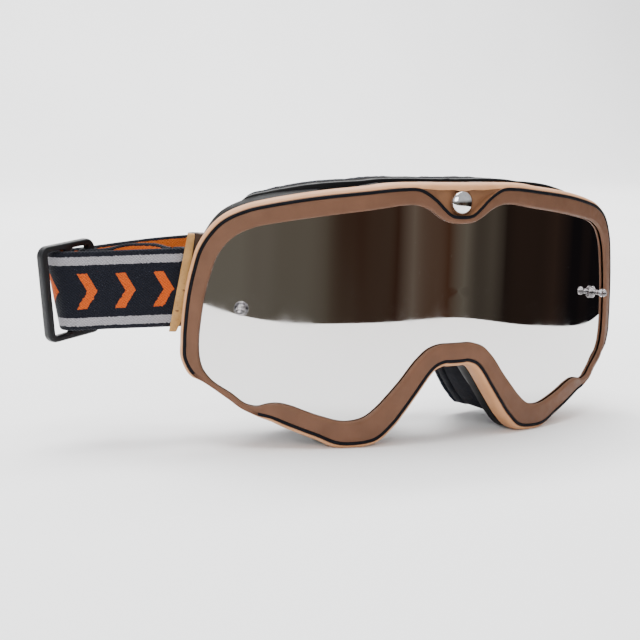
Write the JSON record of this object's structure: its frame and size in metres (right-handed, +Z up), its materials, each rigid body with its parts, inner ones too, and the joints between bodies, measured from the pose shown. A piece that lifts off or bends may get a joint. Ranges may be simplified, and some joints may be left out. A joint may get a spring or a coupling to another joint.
{
  "type": "motorcycle goggles",
  "caption": "Motocross-style goggles: moulded frame, curved mirror lens, layered foam face seal, and a folded elastic strap with buckle sliders on hinged leather tabs.",
  "frame": {"origin": "on the flat underside of the frame's nose arch, midway between the sides", "axes": "+X to the wearer's left, along the width; +Y backwards, towards the face; +Z up, towards the brow"},
  "size_m": [0.2249, 0.0729, 0.0919],
  "materials": {
    "frame_rubber": "satin",
    "stripe_rubber": "satin",
    "lens_mirror": "mirror coated",
    "clear_plastic": "clear",
    "black_plastic": "satin",
    "stud_chrome": "polished",
    "seal_foam": "open-cell foam",
    "fleece": "brushed fleece",
    "tab_leather": "vegetable-tanned",
    "webbing": "woven elastic",
    "brown_plastic": "matt",
    "pin_steel": "brushed",
    "silicone": "satin"
  },
  "bodies": {
    "frame": {"frame": "frame_rubber", "nose_stripe": "stripe_rubber", "brow_stripe": "stripe_rubber", "lens": "lens_mirror", "right_tearoff_post": "clear_plastic", "left_tearoff_post": "clear_plastic", "right_post_washer": "black_plastic", "left_post_washer": "black_plastic", "brow_stud": "stud_chrome", "brow_stud_cap": "black_plastic", "foam_carrier": "black_plastic", "base_foam": "seal_foam", "soft_foam": "seal_foam", "fleece_lining": "fleece", "brow_vent_foam": "seal_foam", "right_strap_bracket": "brown_plastic", "left_strap_bracket": "brown_plastic", "right_hinge_pin": "pin_steel", "left_hinge_pin": "pin_steel"},
    "right_run": {"right_leather_tab": "tab_leather", "right_front_strap": "webbing", "right_return_strap": "webbing"},
    "right_buckle": {"right_slider": "black_plastic"},
    "back_run": {"back_strap": "webbing", "upper_grip_line": "silicone", "lower_grip_line": "silicone"},
    "left_run": {"left_leather_tab": "tab_leather", "left_front_strap": "webbing", "left_return_strap": "webbing"},
    "left_buckle": {"left_slider": "black_plastic"}
  },
  "joints": [
    {"name": "right_strap_swing", "type": "hinge", "parent": "frame", "child": "right_run", "pos_m": [-0.0835, 0.032, 0.0282], "axis": [0, 0, -1], "range_deg": [0, 62]},
    {"name": "right_strap_fold", "type": "hinge", "parent": "right_run", "child": "back_run", "pos_m": [-0.12121, 0.05477, 0.0241], "axis": [0, 0, -1], "range_deg": [-62, 0]},
    {"name": "left_strap_fold", "type": "hinge", "parent": "back_run", "child": "left_run", "pos_m": [0.04579, 0.05477, 0.0241], "axis": [0, 0, -1], "range_deg": [0, 62]},
    {"name": "right_slider_slide", "type": "slide", "parent": "right_run", "child": "right_buckle", "axis": [0.8794, -0.4716, 0.0649], "range_m": [0, 0.015], "deforming": ["right_return_strap"]},
    {"name": "left_slider_slide", "type": "slide", "parent": "left_run", "child": "left_buckle", "axis": [0.8268, -0.5588, 0.0649], "range_m": [0, 0.012], "deforming": ["left_return_strap"]}
  ],
  "couplings": [
    {"joint": "right_strap_fold", "follows": "right_strap_swing", "ratio": -1},
    {"joint": "left_strap_fold", "follows": "right_strap_swing", "ratio": 1}
  ]
}
